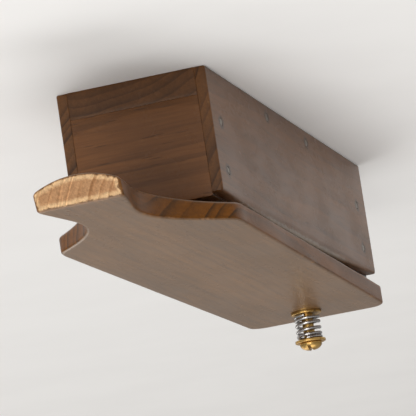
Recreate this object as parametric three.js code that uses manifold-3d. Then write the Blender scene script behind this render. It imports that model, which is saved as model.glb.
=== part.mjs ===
// Box turkey call: a glued and pinned wooden sound box under a spring-held paddle lid.
//
// Millimetres, +Z up, +X towards the paddle's handle, +Y to the left of someone looking
// along +X. The origin is where the hinge screw's axis meets the underside of the base.
import * as THREE from "three";
import { mergeVertices } from "three/addons/utils/BufferGeometryUtils.js";
import Module from "manifold-3d";

// ---------------------------------------------------------------- driving dimensions

// Sound box. Its blocks stand on the base, and its thin sides are glued on outside both.
const BOX_LENGTH = 212;
const BOX_WIDTH = 50;
const BLOCK_TOP = 42;
const BASE_THICKNESS = 9;
const HINGE_BLOCK_LENGTH = 28;
const HANDLE_BLOCK_LENGTH = 22;
const SIDE_THICKNESS = 3.6;

// The sides' upper edges, the lips that the lid strokes, rise gently to mid-length.
const LIP_RISE_OVER_BLOCK = 0.9;
const LIP_ARCH = 1.9;
const LIP_WIDTH_LEFT = 1.4;
const LIP_WIDTH_RIGHT = 1.8;
const LIP_BEVEL_HEIGHT = 3;

// Inside the chamber the sides are carved thinner towards the lips.
const RELIEF_DEPTH = 1.2;
const RELIEF_START = 26;
const RELIEF_FULL = 31;
const RELIEF_END_MARGIN = 3;

// Paddle lid: flat top, crowned underside, shoulders that flare in to a necked handle. Places
// along the handle are measured back from its tip.
const LID_LENGTH = 298;
const LID_TAIL_OVERHANG = 6;
const LID_THICKNESS = 9;
const TAIL_HALF_WIDTH = 26;
const TAIL_CORNER = 6;
const SHOULDER_HALF_WIDTH = 30;
const SHOULDER_START = 81;
const FLARE_TOP = 72;
const FLARE_TOP_HALF_WIDTH = 28;
const NECK = 33;
const NECK_HALF_WIDTH = 9.85;
const TIP_HALF_WIDTH = 13.9;
const TIP_CORNER = 1.5;
const TIP_RAKE = 2.3;
const TIP_RAKE_LENGTH = 12;

// How far each curve of the lid's edge runs on in its own direction before it bends away.
const SHOULDER_RUN = 4;
const FLARE_TOP_RUN_IN = 2;
const FLARE_TOP_DROP_IN = 1.7;
const FLARE_TOP_RUN_OUT = 14;
const FLARE_TOP_DROP_OUT = 12;
const NECK_RUN_IN = 14;
const NECK_RUN_OUT = 10;
const TIP_RUN_IN = 12.5;
const TIP_DROP_IN = 0.7;

// The underside's crown tightens from the lid's body to the D-shaped handle.
const BODY_CROWN_RADIUS = 160;
const HANDLE_CROWN_RADIUS = 27.5;
const CROWN_CHANGE_START = 84;
const CROWN_CHANGE_END = 20;

// Hinge screw, its spring and its washers, stacked on the screw's axis.
const RUNNING_CLEARANCE = 0.05;
const SCREW_RADIUS = 2.1;
const SCREW_TIP_HEIGHT = 20;
const SCREW_POINT_LENGTH = 6;
const SCREW_HEAD_RADIUS = 4.1;
const SCREW_HEAD_HEIGHT = 2.9;
const SCREW_SLOT_WIDTH = 1.2;
const SCREW_SLOT_DEPTH = 1.5;
const SCREW_HOLE_RADIUS = 2.4;
const SCREW_HOLE_FLOOR = 18;
const LID_HOLE_RADIUS = 3.1;
const WASHER_HOLE_RADIUS = 2.5;
const PIVOT_WASHER_RADIUS = 7.5;
const PIVOT_WASHER_THICKNESS = 1.1;
const SPRING_WASHER_RADIUS = 5.6;
const SPRING_WASHER_THICKNESS = 0.9;
const SPRING_LENGTH = 9.5;
const SPRING_COIL_RADIUS = 4.2;
const SPRING_WIRE_RADIUS = 0.55;
const SPRING_TURNS = 5;
const SPRING_CLOSED_ENDS = 0.4;

// Brads through the sides into the blocks and the base.
const BRAD_LENGTH = 15;
const BRAD_RADIUS = 0.65;
const BRAD_HEAD_RADIUS = 1.3;
const BRAD_HEAD_THICKNESS = 0.4;
const BRAD_POINT_LENGTH = 2;
const BRAD_GAP = 0.3;
const BRAD_LOW = 17;
const BRAD_HIGH = 33;

// ---------------------------------------------------------------- derived places

const HINGE_END = -HINGE_BLOCK_LENGTH / 2;
const HANDLE_END = HINGE_END + BOX_LENGTH;
const HALF_WIDTH = BOX_WIDTH / 2;
const SIDE_INNER = HALF_WIDTH - SIDE_THICKNESS;
const CHAMBER_START = HINGE_END + HINGE_BLOCK_LENGTH;
const CHAMBER_END = HANDLE_END - HANDLE_BLOCK_LENGTH;
const LIP_TOP = BLOCK_TOP + LIP_RISE_OVER_BLOCK;

const LID_TAIL = HINGE_END - LID_TAIL_OVERHANG;
const LID_TIP = LID_TAIL + LID_LENGTH;
const LID_UNDERSIDE = BLOCK_TOP + PIVOT_WASHER_THICKNESS + 2 * RUNNING_CLEARANCE;
const LID_TOP = LID_UNDERSIDE + LID_THICKNESS;

const SPRING_BOTTOM = LID_TOP + SPRING_WASHER_THICKNESS + 2 * RUNNING_CLEARANCE;
const SPRING_TOP = SPRING_BOTTOM + SPRING_LENGTH;
const UPPER_WASHER_BOTTOM = SPRING_TOP + RUNNING_CLEARANCE;
const SCREW_HEAD_BOTTOM = UPPER_WASHER_BOTTOM + SPRING_WASHER_THICKNESS + RUNNING_CLEARANCE;

// How finely round pieces are divided.
const ROUND_SEGMENTS = 28;
const BRAD_SEGMENTS = 10;
const LID_DIVISIONS = 7;
const LID_STRIPS = 10;
const WIRE_SEGMENTS = 6;
const COIL_STEPS = 15;
const HEAD_DOME_STEPS = 6;
const MERGE_DISTANCE = 1e-4;
const OVERRUN = 5;

// ---------------------------------------------------------------- materials

const MATERIALS = {
  lidWood: { color: 0x8a5c34, roughness: 0.38, metalness: 0 },
  sideWood: { color: 0x77543a, roughness: 0.5, metalness: 0 },
  blockWood: { color: 0x5f3f26, roughness: 0.5, metalness: 0 },
  brass: { color: 0xb08d4c, roughness: 0.35, metalness: 1 },
  steel: { color: 0x9a9a98, roughness: 0.35, metalness: 1 },
  nylon: { color: 0xd9d4c6, roughness: 0.6, metalness: 0 },
};

function piece(name, geometry, finish) {
  const mesh = new THREE.Mesh(geometry, new THREE.MeshStandardMaterial(MATERIALS[finish]));
  mesh.name = name;
  return mesh;
}

// ---------------------------------------------------------------- solids and cuts

const wasm = await Module();
wasm.setup();

function toSolid(geometry) {
  const bare = geometry.clone();
  bare.deleteAttribute("normal");
  bare.deleteAttribute("uv");
  const merged = mergeVertices(bare, MERGE_DISTANCE);
  const vertProperties = merged.attributes.position.array;
  const triVerts = new Uint32Array(merged.index.array);
  return new wasm.Manifold(new wasm.Mesh({ numProp: 3, vertProperties, triVerts }));
}

function toGeometry(solid) {
  const mesh = solid.getMesh();
  const geometry = new THREE.BufferGeometry();
  geometry.setAttribute("position", new THREE.BufferAttribute(mesh.vertProperties, 3));
  geometry.setIndex(new THREE.BufferAttribute(mesh.triVerts, 1));
  geometry.computeVertexNormals();
  return geometry;
}

function subtract(geometry, cutters) {
  const cut = cutters.reduce((left, cutter) => left.subtract(toSolid(cutter)), toSolid(geometry));
  return toGeometry(cut);
}

// A box between two corners.
function block(low, high) {
  const size = high.clone().sub(low);
  const centre = high.clone().add(low).multiplyScalar(0.5);
  return new THREE.BoxGeometry(size.x, size.y, size.z).translate(centre.x, centre.y, centre.z);
}

// A round bar on the Z axis, from one height to another.
function bar(radius, low, high, segments) {
  const cylinder = new THREE.CylinderGeometry(radius, radius, high - low, segments);
  return cylinder.rotateX(Math.PI / 2).translate(0, 0, (low + high) / 2);
}

// A profile of [radius, height] points turned about the Z axis.
function turned(profile, segments) {
  const points = profile.map(([radius, height]) => new THREE.Vector2(radius, height));
  return new THREE.LatheGeometry(points, segments).rotateX(Math.PI / 2);
}

// A shape drawn in the YZ plane and drawn out along X, from one place to another.
function extrudeAlongX(shape, from, to) {
  const geometry = new THREE.ExtrudeGeometry(shape, { depth: to - from, bevelEnabled: false });
  const axes = new THREE.Matrix4().makeBasis(
    new THREE.Vector3(0, 1, 0),
    new THREE.Vector3(0, 0, 1),
    new THREE.Vector3(1, 0, 0),
  );
  return geometry.applyMatrix4(axes).translate(from, 0, 0);
}

// A shape drawn in the XZ plane and drawn out along Y, from one place to another.
function extrudeAlongY(shape, from, to) {
  const geometry = new THREE.ExtrudeGeometry(shape, { depth: to - from, bevelEnabled: false });
  return geometry.rotateX(Math.PI / 2).translate(0, to, 0);
}

// ---------------------------------------------------------------- brads

// Every brad, with the place where its head lies flush in a side. side is +1 left, -1 right.
const BRADS = [];
for (const [sideName, side] of [["left", 1], ["right", -1]]) {
  const hingeX = (HINGE_END + CHAMBER_START) / 2;
  const handleX = (CHAMBER_END + HANDLE_END) / 2;
  const third = (CHAMBER_END - CHAMBER_START) / 3;
  const baseZ = BASE_THICKNESS / 2;
  BRADS.push(
    { name: `brad_${sideName}_hinge_lower`, side, x: hingeX, z: BRAD_LOW },
    { name: `brad_${sideName}_hinge_upper`, side, x: hingeX, z: BRAD_HIGH },
    { name: `brad_${sideName}_handle_lower`, side, x: handleX, z: BRAD_LOW },
    { name: `brad_${sideName}_handle_upper`, side, x: handleX, z: BRAD_HIGH },
    { name: `brad_${sideName}_base_rear`, side, x: CHAMBER_START + third, z: baseZ },
    { name: `brad_${sideName}_base_front`, side, x: CHAMBER_END - third, z: baseZ },
  );
}

// Turns a piece made on the Z axis, head up, into the side at a brad's place.
function atBrad(geometry, brad) {
  return geometry.rotateX((-brad.side * Math.PI) / 2).translate(brad.x, brad.side * HALF_WIDTH, brad.z);
}

function bradGeometry(brad) {
  const profile = [
    [0, -BRAD_LENGTH],
    [BRAD_RADIUS, -BRAD_LENGTH + BRAD_POINT_LENGTH],
    [BRAD_RADIUS, -BRAD_HEAD_THICKNESS],
    [BRAD_HEAD_RADIUS, -BRAD_HEAD_THICKNESS],
    [BRAD_HEAD_RADIUS, 0],
    [0, 0],
  ];
  return atBrad(turned(profile, BRAD_SEGMENTS), brad);
}

// The stepped hole that a brad stands in, clear of it all round.
function bradHole(brad) {
  const shank = BRAD_RADIUS + BRAD_GAP;
  const head = BRAD_HEAD_RADIUS + BRAD_GAP;
  const step = -BRAD_HEAD_THICKNESS - BRAD_GAP;
  const profile = [
    [0, -BRAD_LENGTH - BRAD_GAP],
    [shank, -BRAD_LENGTH - BRAD_GAP],
    [shank, step],
    [head, step],
    [head, OVERRUN],
    [0, OVERRUN],
  ];
  return atBrad(turned(profile, BRAD_SEGMENTS), brad);
}

// ---------------------------------------------------------------- sound box

// One side of the box: arched upper edge, outer bevel up to the lip, inner face carved thin.
// The right side is made on the left, end for end, and turned about the box's middle.
function soundBoard(side, lipWidth) {
  const middle = (HINGE_END + HANDLE_END) / 2;
  const carvedEnds = [CHAMBER_START + RELIEF_END_MARGIN, CHAMBER_END - RELIEF_END_MARGIN];
  const [carvedFrom, carvedTo] = side > 0 ? carvedEnds : carvedEnds.map((x) => 2 * middle - x).reverse();
  const endTop = LIP_TOP - LIP_ARCH;
  const elevation = new THREE.Shape();
  elevation.moveTo(HINGE_END, 0);
  elevation.lineTo(HANDLE_END, 0);
  elevation.lineTo(HANDLE_END, endTop);
  elevation.quadraticCurveTo(middle, LIP_TOP + LIP_ARCH, HINGE_END, endTop);
  elevation.closePath();
  const board = extrudeAlongY(elevation, SIDE_INNER, HALF_WIDTH);

  const bevel = new THREE.Shape();
  bevel.moveTo(HALF_WIDTH, LIP_TOP - LIP_BEVEL_HEIGHT);
  bevel.lineTo(HALF_WIDTH + OVERRUN, LIP_TOP - LIP_BEVEL_HEIGHT);
  bevel.lineTo(HALF_WIDTH + OVERRUN, LIP_TOP + OVERRUN);
  bevel.lineTo(SIDE_INNER + RELIEF_DEPTH + lipWidth, LIP_TOP + OVERRUN);
  bevel.lineTo(SIDE_INNER + RELIEF_DEPTH + lipWidth, LIP_TOP);
  bevel.closePath();

  const relief = new THREE.Shape();
  relief.moveTo(SIDE_INNER, RELIEF_START);
  relief.lineTo(SIDE_INNER + RELIEF_DEPTH, RELIEF_FULL);
  relief.lineTo(SIDE_INNER + RELIEF_DEPTH, LIP_TOP + OVERRUN);
  relief.lineTo(SIDE_INNER - OVERRUN, LIP_TOP + OVERRUN);
  relief.lineTo(SIDE_INNER - OVERRUN, RELIEF_START);
  relief.closePath();

  const carved = subtract(board, [
    extrudeAlongX(bevel, HINGE_END - OVERRUN, HANDLE_END + OVERRUN),
    extrudeAlongX(relief, carvedFrom, carvedTo),
  ]);
  if (side < 0) carved.rotateZ(Math.PI).translate(2 * middle, 0, 0);
  return subtract(carved, BRADS.filter((brad) => brad.side === side).map(bradHole));
}

function baseBoard() {
  const board = block(
    new THREE.Vector3(HINGE_END, -SIDE_INNER, 0),
    new THREE.Vector3(HANDLE_END, SIDE_INNER, BASE_THICKNESS),
  );
  return subtract(board, BRADS.filter((brad) => brad.z < BASE_THICKNESS).map(bradHole));
}

// An end block between two places along the box, drilled for the brads that reach it.
function endBlock(from, to, otherCutters) {
  const body = block(
    new THREE.Vector3(from, -SIDE_INNER, BASE_THICKNESS),
    new THREE.Vector3(to, SIDE_INNER, BLOCK_TOP),
  );
  const brads = BRADS.filter((brad) => brad.x > from && brad.x < to);
  return subtract(body, [...brads.map(bradHole), ...otherCutters]);
}

function hingeEndBlock() {
  const pilot = bar(SCREW_HOLE_RADIUS, SCREW_HOLE_FLOOR, BLOCK_TOP + OVERRUN, ROUND_SEGMENTS);
  return endBlock(HINGE_END, CHAMBER_START, [pilot]);
}

function handleEndBlock() {
  return endBlock(CHAMBER_END, HANDLE_END, []);
}

// ---------------------------------------------------------------- paddle lid

// The lid's plan on its +Y side, from tail to handle tip, as (place along X, half-width).
function lidEdge() {
  const neck = LID_TIP - NECK;
  const flareTop = LID_TIP - FLARE_TOP;
  const shoulder = LID_TIP - SHOULDER_START;
  const tipSide = LID_TIP - TIP_CORNER;
  const tipCorner = TIP_HALF_WIDTH - TIP_CORNER;
  const tailCorner = TAIL_HALF_WIDTH - TAIL_CORNER;
  const edge = new THREE.Path();
  edge.moveTo(LID_TAIL, tailCorner);
  edge.absarc(LID_TAIL + TAIL_CORNER, tailCorner, TAIL_CORNER, Math.PI, Math.PI / 2, true);
  edge.lineTo(shoulder, SHOULDER_HALF_WIDTH);
  edge.bezierCurveTo(
    shoulder + SHOULDER_RUN, SHOULDER_HALF_WIDTH,
    flareTop - FLARE_TOP_RUN_IN, FLARE_TOP_HALF_WIDTH + FLARE_TOP_DROP_IN,
    flareTop, FLARE_TOP_HALF_WIDTH,
  );
  edge.bezierCurveTo(
    flareTop + FLARE_TOP_RUN_OUT, FLARE_TOP_HALF_WIDTH - FLARE_TOP_DROP_OUT,
    neck - NECK_RUN_IN, NECK_HALF_WIDTH,
    neck, NECK_HALF_WIDTH,
  );
  edge.bezierCurveTo(
    neck + NECK_RUN_OUT, NECK_HALF_WIDTH,
    tipSide - TIP_RUN_IN, TIP_HALF_WIDTH - TIP_DROP_IN,
    tipSide, TIP_HALF_WIDTH,
  );
  edge.absarc(tipSide, tipCorner, TIP_CORNER, Math.PI / 2, 0, true);
  return edge;
}

// The lid's thickness, which falls away from its centre line over the crowned underside.
function lidThickness(x, y) {
  const handle = THREE.MathUtils.smoothstep(x, LID_TIP - CROWN_CHANGE_START, LID_TIP - CROWN_CHANGE_END);
  const curvature = THREE.MathUtils.lerp(1 / BODY_CROWN_RADIUS, 1 / HANDLE_CROWN_RADIUS, handle);
  return LID_THICKNESS - (curvature * y * y) / 2;
}

// How far the top face stops short of the underside at a place near the raked tip.
function tipRake(x) {
  return TIP_RAKE * THREE.MathUtils.smoothstep(x, LID_TIP - TIP_RAKE_LENGTH, LID_TIP);
}

// A unit box divided into stations along X and strips across Y, bent to the lid's form.
function paddleLid() {
  const edge = lidEdge().getPoints(LID_DIVISIONS);
  const lastStation = edge.length - 1;
  const geometry = new THREE.BoxGeometry(1, 1, 1, lastStation, LID_STRIPS, 1);
  const places = geometry.attributes.position;
  for (let i = 0; i < places.count; i++) {
    const station = edge[Math.round((places.getX(i) + 0.5) * lastStation)];
    const y = 2 * places.getY(i) * station.y;
    if (places.getZ(i) > 0) places.setXYZ(i, station.x - tipRake(station.x), y, LID_TOP);
    else places.setXYZ(i, station.x, y, LID_TOP - lidThickness(station.x, y));
  }
  const hole = bar(LID_HOLE_RADIUS, LID_UNDERSIDE - OVERRUN, LID_TOP + OVERRUN, ROUND_SEGMENTS);
  return subtract(geometry, [hole]);
}

// ---------------------------------------------------------------- hinge hardware

function washer(radius, bottom, thickness) {
  const profile = [
    [WASHER_HOLE_RADIUS, bottom],
    [radius, bottom],
    [radius, bottom + thickness],
    [WASHER_HOLE_RADIUS, bottom + thickness],
    [WASHER_HOLE_RADIUS, bottom],
  ];
  return turned(profile, ROUND_SEGMENTS);
}

// The spring's centre line, with a closer pitch at both ends than in the middle.
class Coil extends THREE.Curve {
  getPoint(t, target = new THREE.Vector3()) {
    const angle = 2 * Math.PI * SPRING_TURNS * t;
    const climb = t - (SPRING_CLOSED_ENDS * Math.sin(2 * Math.PI * t)) / (2 * Math.PI);
    const height = SPRING_WIRE_RADIUS + (SPRING_LENGTH - 2 * SPRING_WIRE_RADIUS) * climb;
    const x = SPRING_COIL_RADIUS * Math.cos(angle);
    const y = SPRING_COIL_RADIUS * Math.sin(angle);
    return target.set(x, y, SPRING_BOTTOM + height);
  }
}

function tensionSpring() {
  const wire = new THREE.Shape();
  wire.absarc(0, 0, SPRING_WIRE_RADIUS, 0, 2 * Math.PI);
  return new THREE.ExtrudeGeometry(wire, {
    extrudePath: new Coil(),
    steps: SPRING_TURNS * COIL_STEPS,
    curveSegments: WIRE_SEGMENTS,
    bevelEnabled: false,
  });
}

// A round-headed wood screw with a driver slot across its head.
function hingeScrew() {
  const profile = [
    [0, SCREW_TIP_HEIGHT],
    [SCREW_RADIUS, SCREW_TIP_HEIGHT + SCREW_POINT_LENGTH],
    [SCREW_RADIUS, SCREW_HEAD_BOTTOM],
  ];
  for (let i = 0; i <= HEAD_DOME_STEPS; i++) {
    const angle = ((Math.PI / 2) * i) / HEAD_DOME_STEPS;
    const radius = i < HEAD_DOME_STEPS ? SCREW_HEAD_RADIUS * Math.cos(angle) : 0;
    profile.push([radius, SCREW_HEAD_BOTTOM + SCREW_HEAD_HEIGHT * Math.sin(angle)]);
  }
  const headTop = SCREW_HEAD_BOTTOM + SCREW_HEAD_HEIGHT;
  const reach = SCREW_HEAD_RADIUS + OVERRUN;
  const slot = block(
    new THREE.Vector3(-reach, -SCREW_SLOT_WIDTH / 2, headTop - SCREW_SLOT_DEPTH),
    new THREE.Vector3(reach, SCREW_SLOT_WIDTH / 2, headTop + OVERRUN),
  );
  return subtract(turned(profile, ROUND_SEGMENTS), [slot]);
}

// ---------------------------------------------------------------- assembly

const soundBox = new THREE.Group();
soundBox.add(
  piece("base_board", baseBoard(), "blockWood"),
  piece("left_sound_board", soundBoard(1, LIP_WIDTH_LEFT), "sideWood"),
  piece("right_sound_board", soundBoard(-1, LIP_WIDTH_RIGHT), "sideWood"),
  piece("hinge_end_block", hingeEndBlock(), "blockWood"),
  piece("handle_end_block", handleEndBlock(), "blockWood"),
  ...BRADS.map((brad) => piece(brad.name, bradGeometry(brad), "steel")),
);

const pivotWasher = washer(PIVOT_WASHER_RADIUS, BLOCK_TOP + RUNNING_CLEARANCE, PIVOT_WASHER_THICKNESS);
const lowerWasher = washer(SPRING_WASHER_RADIUS, LID_TOP + RUNNING_CLEARANCE, SPRING_WASHER_THICKNESS);
const upperWasher = washer(SPRING_WASHER_RADIUS, UPPER_WASHER_BOTTOM, SPRING_WASHER_THICKNESS);
const hinge = new THREE.Group();
hinge.add(
  piece("pivot_washer", pivotWasher, "nylon"),
  piece("lower_spring_washer", lowerWasher, "brass"),
  piece("tension_spring", tensionSpring(), "steel"),
  piece("upper_spring_washer", upperWasher, "brass"),
  piece("hinge_screw", hingeScrew(), "brass"),
);

const boxCall = new THREE.Group();
boxCall.name = "box_turkey_call";
boxCall.add(soundBox, piece("paddle_lid", paddleLid(), "lidWood"), hinge);

export default boxCall;
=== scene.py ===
# Box turkey call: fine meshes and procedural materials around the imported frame, with a plain
# pale floor, soft studio light and a camera. Mesh code works in millimetres in the row frame,
# and make() turns it into metres.
import math
import bmesh
import bpy
import numpy as np
from mathutils import Matrix, Vector


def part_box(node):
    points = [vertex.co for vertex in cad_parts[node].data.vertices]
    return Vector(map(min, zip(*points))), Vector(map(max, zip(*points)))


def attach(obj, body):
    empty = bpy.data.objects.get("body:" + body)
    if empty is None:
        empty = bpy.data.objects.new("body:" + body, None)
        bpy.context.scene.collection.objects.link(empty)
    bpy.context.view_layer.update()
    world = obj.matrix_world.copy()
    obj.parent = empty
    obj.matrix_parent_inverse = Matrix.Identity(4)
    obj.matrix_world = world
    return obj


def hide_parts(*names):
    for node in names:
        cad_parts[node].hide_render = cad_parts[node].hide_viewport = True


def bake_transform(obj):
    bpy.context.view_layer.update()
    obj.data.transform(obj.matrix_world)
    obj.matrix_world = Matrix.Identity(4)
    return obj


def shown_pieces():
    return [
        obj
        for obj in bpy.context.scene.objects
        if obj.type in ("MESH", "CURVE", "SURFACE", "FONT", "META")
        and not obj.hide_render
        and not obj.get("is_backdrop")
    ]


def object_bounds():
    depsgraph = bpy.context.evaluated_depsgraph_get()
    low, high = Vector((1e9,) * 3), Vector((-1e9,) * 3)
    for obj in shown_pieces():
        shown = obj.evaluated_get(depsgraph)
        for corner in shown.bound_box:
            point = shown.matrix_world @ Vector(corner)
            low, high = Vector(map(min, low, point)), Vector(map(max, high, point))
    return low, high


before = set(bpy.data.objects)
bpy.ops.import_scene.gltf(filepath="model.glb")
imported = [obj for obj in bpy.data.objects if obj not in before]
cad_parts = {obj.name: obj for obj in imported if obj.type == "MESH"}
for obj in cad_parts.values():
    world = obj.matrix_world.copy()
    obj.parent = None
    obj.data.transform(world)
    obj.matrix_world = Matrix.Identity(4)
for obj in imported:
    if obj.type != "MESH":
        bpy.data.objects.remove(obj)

MM = 0.001
SMOOTH_DEGREES = 35
cad_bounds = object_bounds()


def box_mm(node):
    """A CAD node's lowest and highest corners in millimetres."""
    low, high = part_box(node)
    return np.array(low) / MM, np.array(high) / MM


lid_low, lid_high = box_mm("paddle_lid")
base_low, base_high = box_mm("base_board")
left_low, left_high = box_mm("left_sound_board")
hinge_low, hinge_high = box_mm("hinge_end_block")
handle_low, handle_high = box_mm("handle_end_block")
seat_low, seat_high = box_mm("lower_spring_washer")
cap_low, cap_high = box_mm("upper_spring_washer")
pivot_low, pivot_high = box_mm("pivot_washer")
screw_low, screw_high = box_mm("hinge_screw")
brad_nodes = sorted(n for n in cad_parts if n.startswith("brad_"))
spring_low, spring_high = box_mm("tension_spring")


# ---------------------------------------------------------------- mesh helpers

def make(name, verts, faces, material, body=None, nodes=()):
    """A mesh object from millimetre vertices, shaded smooth but for sharp edges, riding on a body."""
    mesh = bpy.data.meshes.new(name)
    mesh.from_pydata((np.asarray(verts, float) * MM).tolist(), [], faces)
    mesh.validate()
    bm = bmesh.new()
    bm.from_mesh(mesh)
    bmesh.ops.recalc_face_normals(bm, faces=bm.faces)
    bm.to_mesh(mesh)
    bm.free()
    piece = bpy.data.objects.new(name, mesh)
    bpy.context.scene.collection.objects.link(piece)
    mesh.materials.append(material)
    finish_shading(piece, SMOOTH_DEGREES)
    if body:
        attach(piece, body)
    if nodes:
        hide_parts(*nodes)
    return piece


def finish_shading(piece, smooth_deg):
    piece.data.shade_smooth()
    piece.data.set_sharp_from_angle(angle=math.radians(smooth_deg))


def cut(piece, cutters, smooth_deg=SMOOTH_DEGREES):
    """Cuts closed meshes out of a piece and removes them."""
    for cutter in cutters:
        modifier = piece.modifiers.new("cut", "BOOLEAN")
        modifier.operation = "DIFFERENCE"
        modifier.solver = "EXACT"
        modifier.object = cutter
    bpy.context.view_layer.update()
    graph = bpy.context.evaluated_depsgraph_get()
    mesh = bpy.data.meshes.new_from_object(piece.evaluated_get(graph))
    piece.modifiers.clear()
    piece.data = mesh
    for cutter in cutters:
        bpy.data.objects.remove(cutter)
    finish_shading(piece, smooth_deg)


def bezier(a, b, c, d, steps):
    """Points on a cubic curve, without its first one."""
    t = (np.arange(1, steps + 1) / steps)[:, None]
    a, b, c, d = (np.array(p, float) for p in (a, b, c, d))
    return a * (1 - t) ** 3 + 3 * b * t * (1 - t) ** 2 + 3 * c * t**2 * (1 - t) + d * t**3


def arc(centre, radius, start_deg, end_deg, steps):
    """Points on an arc, first and last one included."""
    angle = np.radians(np.linspace(start_deg, end_deg, steps + 1))
    return np.array(centre) + radius * np.stack([np.cos(angle), np.sin(angle)], 1)


def line(start, end, steps):
    """Points on a straight line, without its first one."""
    t = (np.arange(1, steps + 1) / steps)[:, None]
    return np.array(start) * (1 - t) + np.array(end) * t


def smoothstep(x, low, high):
    t = np.clip((x - low) / (high - low), 0, 1)
    return t * t * (3 - 2 * t)


def ripple(u, v, seed, wavelength):
    """A smooth, seeded unevenness between about -1 and 1 over a plane."""
    rng = np.random.default_rng(seed)
    total = np.zeros(np.broadcast(u, v).shape)
    waves = 6
    for _ in range(waves):
        angle, phase = rng.uniform(0, 2 * math.pi, 2)
        length = wavelength * rng.uniform(0.6, 1.8)
        total += np.sin(2 * math.pi * (u * math.cos(angle) + v * math.sin(angle)) / length + phase)
    return total / waves


def slab(near, far, columns, upper, lower, rims, place, wall_rows, rim_steps):
    """A plate with rounded rims, over the plan between two curves that run from its start to its end.

    near and far hold plan points (u, v); columns are shares of the way from near to far. upper and
    lower give the height w of the two faces over (u, v), and rims holds the rounding's radius round
    each. The plate's points go through place(u, v, w). Returns vertices and faces.
    """
    near, far = np.asarray(near, float), np.asarray(far, float)
    share = np.asarray(columns, float)[None, :, None]

    def inward(curve, sign):
        along = np.gradient(curve, axis=0)
        along /= np.linalg.norm(along, axis=1)[:, None]
        normal = sign * np.stack([-along[:, 1], along[:, 0]], 1)
        normal[0] = (1, 0)
        normal[-1] = (-1, 0)
        return normal

    near_in, far_in = inward(near, 1), inward(far, -1)

    def plan(inset):
        a = (near + near_in * inset)[:, None, :]
        b = (far + far_in * inset)[:, None, :]
        return a * (1 - share) + b * share

    rows, cols = len(near), len(columns)
    loop = [(i, 0) for i in range(rows)] + [(rows - 1, j) for j in range(1, cols)]
    loop += [(i, cols - 1) for i in range(rows - 2, -1, -1)] + [(0, j) for j in range(cols - 2, 0, -1)]
    loop_i, loop_j = np.array(loop).T

    def placed(uv, w):
        return np.stack(place(uv[..., 0], uv[..., 1], w), -1)

    def face_grid(face, rim):
        uv = plan(rim)
        return placed(uv, face(uv[..., 0], uv[..., 1]))

    def rounded(face, rim, sign):
        loops = []
        for k in range(1, rim_steps + 1):
            a = math.pi / 2 * k / rim_steps
            uv = plan(rim * (1 - math.sin(a)))[loop_i, loop_j]
            loops.append(placed(uv, face(uv[:, 0], uv[:, 1]) + sign * rim * (1 - math.cos(a))))
        return loops

    top_rim, bottom_rim = rims
    top_grid, bottom_grid = face_grid(upper, top_rim), face_grid(lower, bottom_rim)
    edge = plan(0)[loop_i, loop_j]
    high = upper(edge[:, 0], edge[:, 1]) - top_rim
    low = lower(edge[:, 0], edge[:, 1]) + bottom_rim
    layers = rounded(upper, top_rim, -1)
    layers += [placed(edge, high + (low - high) * k / wall_rows) for k in range(1, wall_rows)]
    layers += reversed(rounded(lower, bottom_rim, 1))

    count = rows * cols
    verts = np.concatenate([top_grid.reshape(-1, 3), *layers, bottom_grid.reshape(-1, 3)])
    bottom_start = count + len(layers) * len(loop)
    rings = [loop_i * cols + loop_j]
    rings += [count + k * len(loop) + np.arange(len(loop)) for k in range(len(layers))]
    rings.append(bottom_start + loop_i * cols + loop_j)
    faces = []
    for i in range(rows - 1):
        for j in range(cols - 1):
            a, b = i * cols + j, (i + 1) * cols + j
            faces.append((a, b, b + 1, a + 1))
            a, b = a + bottom_start, b + bottom_start
            faces.append((a, a + 1, b + 1, b))
    for one, two in zip(rings, rings[1:]):
        for k in range(len(loop)):
            n = (k + 1) % len(loop)
            faces.append((int(one[k]), int(one[n]), int(two[n]), int(two[k])))
    return verts, faces


def rounded_rectangle(u0, u1, v0, v1, corner, spacing):
    """The near and far sides of a rectangle with rounded corners."""
    steps = max(2, int((u1 - u0) / spacing))
    far = np.concatenate([
        arc((u0 + corner, v1 - corner), corner, 180, 90, 4),
        line((u0 + corner, v1), (u1 - corner, v1), steps),
        arc((u1 - corner, v1 - corner), corner, 90, 0, 4)[1:],
    ])
    near = far.copy()
    near[:, 1] = v0 + v1 - far[:, 1]
    return near, far


def turned(profile, segments, radius_at=None):
    """Turns [radius, height] points about Z. A profile that closes on itself gives a ring, and any
    other is closed at its ends on the axis. radius_at(radius, height, angle) may change a radius."""
    profile = np.asarray(profile, float)
    closed = np.allclose(profile[0], profile[-1])
    if closed:
        profile = profile[:-1]
    angle = 2 * math.pi * np.arange(segments) / segments
    verts, faces = [], []
    for radius, height in profile:
        r = np.full(segments, radius) if radius_at is None else radius_at(radius, height, angle)
        verts.append(np.stack([r * np.cos(angle), r * np.sin(angle), np.full(segments, height)], 1))
    count = len(profile)
    for k in range(count if closed else count - 1):
        a, b = k * segments, ((k + 1) % count) * segments
        for s in range(segments):
            n = (s + 1) % segments
            faces.append((a + s, a + n, b + n, b + s))
    if not closed:
        faces.append(tuple(range(segments)))
        faces.append(tuple((count - 1) * segments + s for s in range(segments)))
    return np.concatenate(verts), faces


BAR_SEGMENTS = 40
BAR_OVERSHOOT = 3.0


def bar(name, radius, low, high, bell):
    """A round cutter on the Z axis, widened by bell just below high and past it."""
    mouth = radius + bell
    profile = [(radius, low), (radius, high - 2 * bell - 0.01), (mouth, high), (mouth, high + BAR_OVERSHOOT)]
    verts, faces = turned(profile, BAR_SEGMENTS)
    return make(name, verts, faces, None)


# ---------------------------------------------------------------- material helpers

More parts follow.
